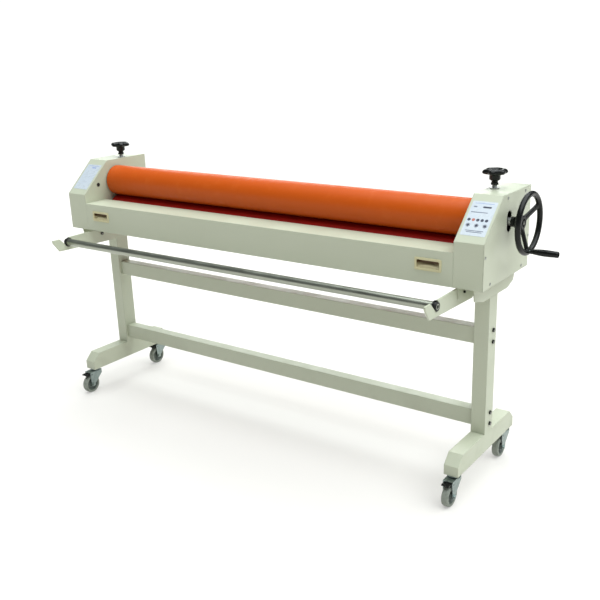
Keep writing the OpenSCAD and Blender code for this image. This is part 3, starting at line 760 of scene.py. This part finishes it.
def rounded_rectangle(width, height, radius, steps=5):
    """A closed outline round the origin, its corners as arcs."""
    points = []
    for cx, cz, start in ((1, 1, 0), (-1, 1, 90), (-1, -1, 180), (1, -1, 270)):
        for k in range(steps + 1):
            a = math.radians(start + 90 * k / steps)
            points.append((cx * (width / 2 - radius) + radius * math.cos(a),
                           cz * (height / 2 - radius) + radius * math.sin(a)))
    return points


def make_pull_handle(side):
    """A moulded bezel with a finger scoop, deep at the top and running out at the bottom."""
    low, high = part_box("pull_handles")
    x = high.x - BEZEL_W / 2 * MM if side == "right" else low.x + BEZEL_W / 2 * MM
    centre = Vector((x, low.y + BEZEL_OUT, (low.z + high.z) / 2))

    def bezel(inset, radius, depth):
        """A ring so far inside the bezel's edge, all at one depth behind the apron's face."""
        return [centre + Vector((px, depth, pz)) * MM
                for px, pz in rounded_rectangle(BEZEL_W - 2 * inset, BEZEL_H - 2 * inset, radius)]

    def scoop(width, height, radius):
        """A ring on the scoop's floor, which runs out towards the bottom."""
        def depth(share):
            return SCOOP_SHALLOW + (SCOOP_DEEP - SCOOP_SHALLOW) * min(1, max(0, share * 1.6))
        return [centre + Vector((px, depth(pz / height + 0.5), pz)) * MM
                for px, pz in rounded_rectangle(width, height, radius)]

    rings = [bezel(7, 4, 1), bezel(1, 4, 0.05), bezel(0, 4.5, 0.05), bezel(0, 4.5, -1.6),
             bezel(0.5, 4.5, -2.6), bezel(1.5, 4, -3), bezel(6, 3, -3), bezel(7, 3, -2.6),
             bezel(7.7, 3, -1.6), bezel(8, 3, 0), bezel(8, 3, 2),
             scoop(74.4, 22.6, 3), scoop(60, 16, 3), scoop(30, 6, 2)]
    bm = bmesh.new()
    made = loft(bm, rings)
    bm.faces.new(made[-1])
    # faces deep in the cup take the second material, which carries painted shade
    for face in bm.faces:
        if face.calc_center_median().y > centre.y + 0.4 * MM:
            face.material_index = 1
    close_back(bm, made[0], centre)
    obj = piece("pull_handle_" + side, bm, "frame", "beige_plastic", ("pull_handles",), smooth_angle=40)
    obj.data.materials.append(RECESS_PAINTED_SHADE)


def close_back(bm, opening, centre):
    """The hidden back of the cup, closed behind the apron."""
    made = [[bm.verts.new(centre + Vector((px, depth, pz)) * MM)
             for px, pz in rounded_rectangle(width, height, 3)]
            for width, height, depth in ((80, 28, 2), (80, 28, 15.4), (78, 26, 16))]
    for first, second in zip([opening] + made, made):
        bridge(bm, first, second)
    bm.faces.new(made[-1])


for end in ("left", "right"):
    make_pull_handle(end)


# ---------------------------------------------------------------- labels

INKS = {"dark": ink("ink_dark", 44, 50, 70), "grey": ink("ink_grey", 112, 120, 136),
        "red": ink("ink_red", 176, 104, 90), "blue": ink("ink_blue", 132, 152, 196),
        "faint": ink("ink_faint", 188, 198, 210)}
LABEL_W, LABEL_L = 80.0, 126.0
FILM_T, INK_T = 0.4, 0.12


class LabelPlane:
    """Places points given in millimetres across and up the sloped panel."""

    def __init__(self, side):
        low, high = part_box("labels")
        tilt = math.atan2(high.z - low.z, high.y - low.y)
        x = high.x - LABEL_W / 2 * MM if side == "right" else low.x + LABEL_W / 2 * MM
        self.normal = Vector((0, -math.sin(tilt), math.cos(tilt)))
        self.up = Vector((0, math.cos(tilt), math.sin(tilt)))
        bottom = Vector((x, low.y + FILM_T * MM * math.sin(tilt), low.z))
        self.origin = bottom + self.up * LABEL_L / 2 * MM

    def at(self, across, up, rise):
        return self.origin + Vector((across, 0, 0)) * MM + self.up * up * MM + self.normal * rise * MM


def film(bm, plane, outline, low, high):
    """A flat patch between two heights above the panel."""
    loft(bm, [[plane.at(a, u, rise) for a, u in outline] for rise in (low, high)], caps=True)


def disc(radius, across, up, sides=20):
    return [(across + radius * math.cos(a), up + radius * math.sin(a)) for a in round_angles(sides)]


def bar_mark(across, up, width, height):
    return [(across + a, up + u) for a, u in rounded_rectangle(width, height, 0.49 * height, 3)]


def make_label(side, marks):
    """A film on the sloped panel, and one piece for the marks in each ink."""
    plane = LabelPlane(side)
    bm = bmesh.new()
    film(bm, plane, rounded_rectangle(LABEL_W, LABEL_L, 3), 0.02, FILM_T)
    piece("label_" + side, bm, "frame", "label_film", ("labels",))
    for name, outlines in marks.items():
        bm = bmesh.new()
        for outline in outlines:
            film(bm, plane, outline, FILM_T, FILM_T + INK_T)
        obj = piece("label_%s_%s" % (side, name), bm, "frame", "label_film")
        repaint(obj, INKS[name])


LAMP_ROW, LAMP_R = -6, 5.2
DARK_LAMPS, RED_LAMP = (-30, -2, 12, 26), -16
DIAL_ROW, DIAL_R, DASH_R = -26, 4.8, 7.2
DIALS = (-27, 0, 27)


def ring_of_dashes(across, up):
    """Eight short dashes round a dial."""
    span, width = 0.5, 1.3
    inner = DASH_R - width
    return [[(across + r * math.cos(a), up + r * math.sin(a)) for a, r in
             ((t, DASH_R), (t + span, DASH_R), (t + span, inner), (t, inner))]
            for t in round_angles(8)]


lamps = [disc(LAMP_R, across, LAMP_ROW) for across in DARK_LAMPS]
dials = [disc(DIAL_R, across, DIAL_ROW) for across in DIALS]
dashes = [dash for across in DIALS for dash in ring_of_dashes(across, DIAL_ROW)]
foot_lines = [bar_mark(0, -45 - 5 * k, 58 - 8 * k, 2.8) for k in range(2)]
make_label("right", {
    "grey": [bar_mark(-26, 42, 12, 5), bar_mark(-7, 22, 54, 3)] + foot_lines,
    "dark": lamps + dials + [bar_mark(12, 42, 28, 6)] + dashes,
    "red": [disc(LAMP_R, RED_LAMP, LAMP_ROW)],
    "blue": [bar_mark(0, 55, 62, 1.6)]})
make_label("left", {
    "blue": [bar_mark(6, 47, 24, 5), bar_mark(0, 56, 60, 1.6)],
    "faint": [bar_mark(-4, 32 - 9 * k, 52 - 4 * (k % 3), 1.8) for k in range(8)]})


# ---------------------------------------------------------------- small fittings

HEAD_H, HEAD_R = 2.5, 4.5
DOME_R = 5.2
CROSS_R, CROSS_HALF_W, CROSS_LEVEL = 2.9, 0.62, 1.2
SHANK_R, SHANK_L = 2, 6
HEAD_SIDES = 48
SAME_HEAD = 12 * MM


def make_cover_screws():
    """Pan heads with a cross recess on both end covers."""
    low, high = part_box("cover_screws")
    places = cover_screw_places()
    bm = bmesh.new()
    for x, sign in ((low.x, -1), (high.x, 1)):
        for y, z in places:
            pan_head(bm, Vector((x - sign * HEAD_H * MM, y, z)), sign)
    piece("cover_screw_heads", bm, "frame", "steel", ("cover_screws",), smooth_angle=40)


def pan_head(bm, seat, sign):
    """A domed head whose middle is pressed in along two crossing grooves, on a plain shank."""
    def ring(radius, height):
        return [seat + Vector((sign * height(radius, a), radius * math.cos(a),
                               radius * math.sin(a))) * MM for a in round_angles(HEAD_SIDES)]

    def crossed_dome(radius, angle):
        off_groove = min(abs(math.sin(angle)), abs(math.cos(angle))) * radius
        if radius < CROSS_R and off_groove < CROSS_HALF_W:
            return CROSS_LEVEL
        return HEAD_H * math.sqrt(max(0, 1 - (radius / DOME_R) ** 2))

    rings = [ring(SHANK_R, lambda radius, angle: -SHANK_L), ring(HEAD_R, lambda radius, angle: 0)]
    rings += [ring(radius, crossed_dome)
              for radius in (HEAD_R, 4.2, 3.6, CROSS_R, 2.85, 2.1, 1.4, 0.95, 0.6)]
    loft(bm, rings, caps=True)


def cover_screw_places():
    """Centres of the screw heads in Y and Z, found from the CAD node's own vertices."""
    obj = NODES["cover_screws"]
    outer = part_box("cover_screws")[1].x
    points = [v.co for v in obj.data.vertices if abs(v.co.x - outer) < 0.05 * MM]
    groups = []
    for point in points:
        for group in groups:
            if (group[0] - point).length < SAME_HEAD:
                group.append(point)
                break
        else:
            groups.append([point])
    centres = []
    for group in groups:
        ys, zs = [p.y for p in group], [p.z for p in group]
        centres.append(((min(ys) + max(ys)) / 2, (min(zs) + max(zs)) / 2))
    return centres


def make_wall_plugs():
    """A dished cap on each housing's inner wall, its shank ending inside the housing."""
    end = size("wall_plugs").x / 2 / MM
    cap_r, shank_r, depth = 8, 6.4, 5
    from_wall = [(0, -0.6), (4.6, -0.7), (5.2, -1.4), (6.6, -1.5), (7.7, -1.2), (cap_r, -0.4),
                 (cap_r, 0), (shank_r, 0), (shank_r, 4.6), (6, depth), (0, depth)]
    bm = bmesh.new()
    for sign in (-1, 1):
        profile = [(radius, sign * (end - depth + x)) for radius, x in from_wall]
        lathe(bm, "X", middle("wall_plugs"), profile, segments=40)
    piece("wall_plug_caps", bm, "frame", "black_matte", ("wall_plugs",), smooth_angle=40)


make_cover_screws()
make_wall_plugs()


# ---------------------------------------------------------------- camera, light and floor

def make_camera():
    """Stands in front of the right-hand end, above the machine, and looks down along it."""
    place = Vector((1.7908, -2.2987, 1.4553))
    turn, dip, roll = math.radians(35.84), math.radians(18.32), math.radians(-1.78)
    data = bpy.data.cameras.new("camera")
    data.sensor_width = 36
    data.lens = 49.86
    data.shift_x, data.shift_y = -0.01505, 0.01205
    obj = bpy.data.objects.new("camera", data)
    bpy.context.scene.collection.objects.link(obj)
    obj.matrix_world = (Matrix.Translation(place) @ Matrix.Rotation(turn, 4, "Z")
                        @ Matrix.Rotation(math.pi / 2 - dip, 4, "X") @ Matrix.Rotation(roll, 4, "Z"))
    bpy.context.scene.camera = obj


def softbox(name, place, target, width, height, power, tone):
    """A rectangular light at a place, turned to face its target."""
    data = bpy.data.lights.new(name, "AREA")
    data.shape = "RECTANGLE"
    data.size, data.size_y = width, height
    data.energy = power
    data.color = tone
    obj = bpy.data.objects.new(name, data)
    bpy.context.scene.collection.objects.link(obj)
    obj.location = place
    obj.rotation_euler = (Vector(target) - Vector(place)).to_track_quat("-Z", "Y").to_euler()


def make_studio():
    """A white backdrop to the camera, soft light from above and a panel behind on the left."""
    world = bpy.data.worlds.new("studio")
    bpy.context.scene.world = world
    world.use_nodes = True
    nodes, links = world.node_tree.nodes, world.node_tree.links
    seen = nodes["Background"]
    seen.inputs["Color"].default_value = (1, 1, 1, 1)
    seen.inputs["Strength"].default_value = 1.05
    lit = nodes.new("ShaderNodeBackground")
    lit.inputs["Color"].default_value = (0.94, 0.99, 1, 1)
    lit.inputs["Strength"].default_value = 0.2
    path = nodes.new("ShaderNodeLightPath")
    mix = nodes.new("ShaderNodeMixShader")
    links.new(path.outputs["Is Camera Ray"], mix.inputs["Fac"])
    links.new(lit.outputs["Background"], mix.inputs[1])
    links.new(seen.outputs["Background"], mix.inputs[2])
    links.new(mix.outputs["Shader"], nodes["World Output"].inputs["Surface"])
    sun = bpy.data.lights.new("sky_panel", "SUN")
    sun.energy = 5.1
    sun.color = (0.94, 0.985, 1)
    sun.angle = math.radians(84)
    obj = bpy.data.objects.new("sky_panel", sun)
    bpy.context.scene.collection.objects.link(obj)
    obj.rotation_euler = Vector((0.24, 0.1, 0.95)).to_track_quat("Z", "Y").to_euler()
    softbox("rear_left", (-2.4, 3.5, 2.5), (0, 0, 0.6), 3.6, 1.8, 64, (0.97, 1, 0.98))


def make_floor():
    """A flat floor that reaches well past the picture's edges."""
    mesh = bpy.data.meshes.new("floor")
    reach = 40
    mesh.from_pydata([(-reach, -reach, 0), (reach, -reach, 0), (reach, reach, 0), (-reach, reach, 0)],
                     [], [(0, 1, 2, 3)])
    obj = bpy.data.objects.new("floor", mesh)
    bpy.context.scene.collection.objects.link(obj)
    mesh.materials.append(floor_surface())


make_camera()
make_studio()
make_floor()
bpy.context.scene.view_settings.view_transform = "Standard"
